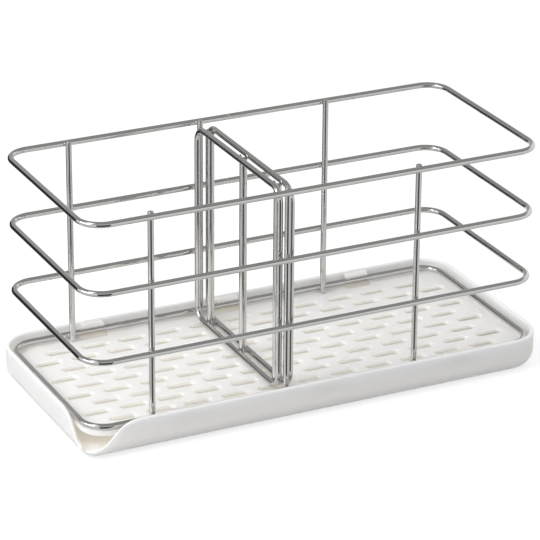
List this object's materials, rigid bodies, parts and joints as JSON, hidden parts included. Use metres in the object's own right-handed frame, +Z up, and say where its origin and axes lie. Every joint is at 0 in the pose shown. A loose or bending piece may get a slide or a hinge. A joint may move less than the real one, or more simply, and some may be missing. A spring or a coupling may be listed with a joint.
{
  "type": "kitchen sink caddy",
  "caption": "Open wire basket for sponges and brushes with a lift-out wire divider, a clip-on slotted drain plate and a white drip tray with a pouring spout.",
  "frame": {"origin": "on the table under the middle of the drip tray", "axes": "+X along the caddy, +Y to its back, +Z up; the spout is at -X, -Y"},
  "size_m": [0.2506, 0.1148, 0.1183],
  "materials": {
    "steel_wire": "electropolished stainless wire, bright",
    "plate_plastic": "glossy white moulding",
    "tray_plastic": "satin to glossy white moulding"
  },
  "bodies": {
    "tray": {"drip_tray": "tray_plastic"},
    "basket": {"base_hoop": "steel_wire", "lower_hoop": "steel_wire", "upper_hoop": "steel_wire", "top_hoop": "steel_wire", "front_left_upright": "steel_wire", "front_middle_upright": "steel_wire", "front_right_upright": "steel_wire", "back_left_upright": "steel_wire", "back_middle_upright": "steel_wire", "back_right_upright": "steel_wire", "drain_plate": "plate_plastic"},
    "divider": {"left_divider_loop": "steel_wire", "right_divider_loop": "steel_wire", "front_spacer_rod": "steel_wire", "middle_spacer_rod": "steel_wire", "back_spacer_rod": "steel_wire"}
  },
  "joints": [
    {"name": "basket_lift", "type": "slide", "parent": "tray", "child": "basket", "axis": [0, 0, 1], "range_m": [0, 0.06]},
    {"name": "divider_lift", "type": "slide", "parent": "basket", "child": "divider", "axis": [0, 0, 1], "range_m": [0, 0.11]}
  ]
}
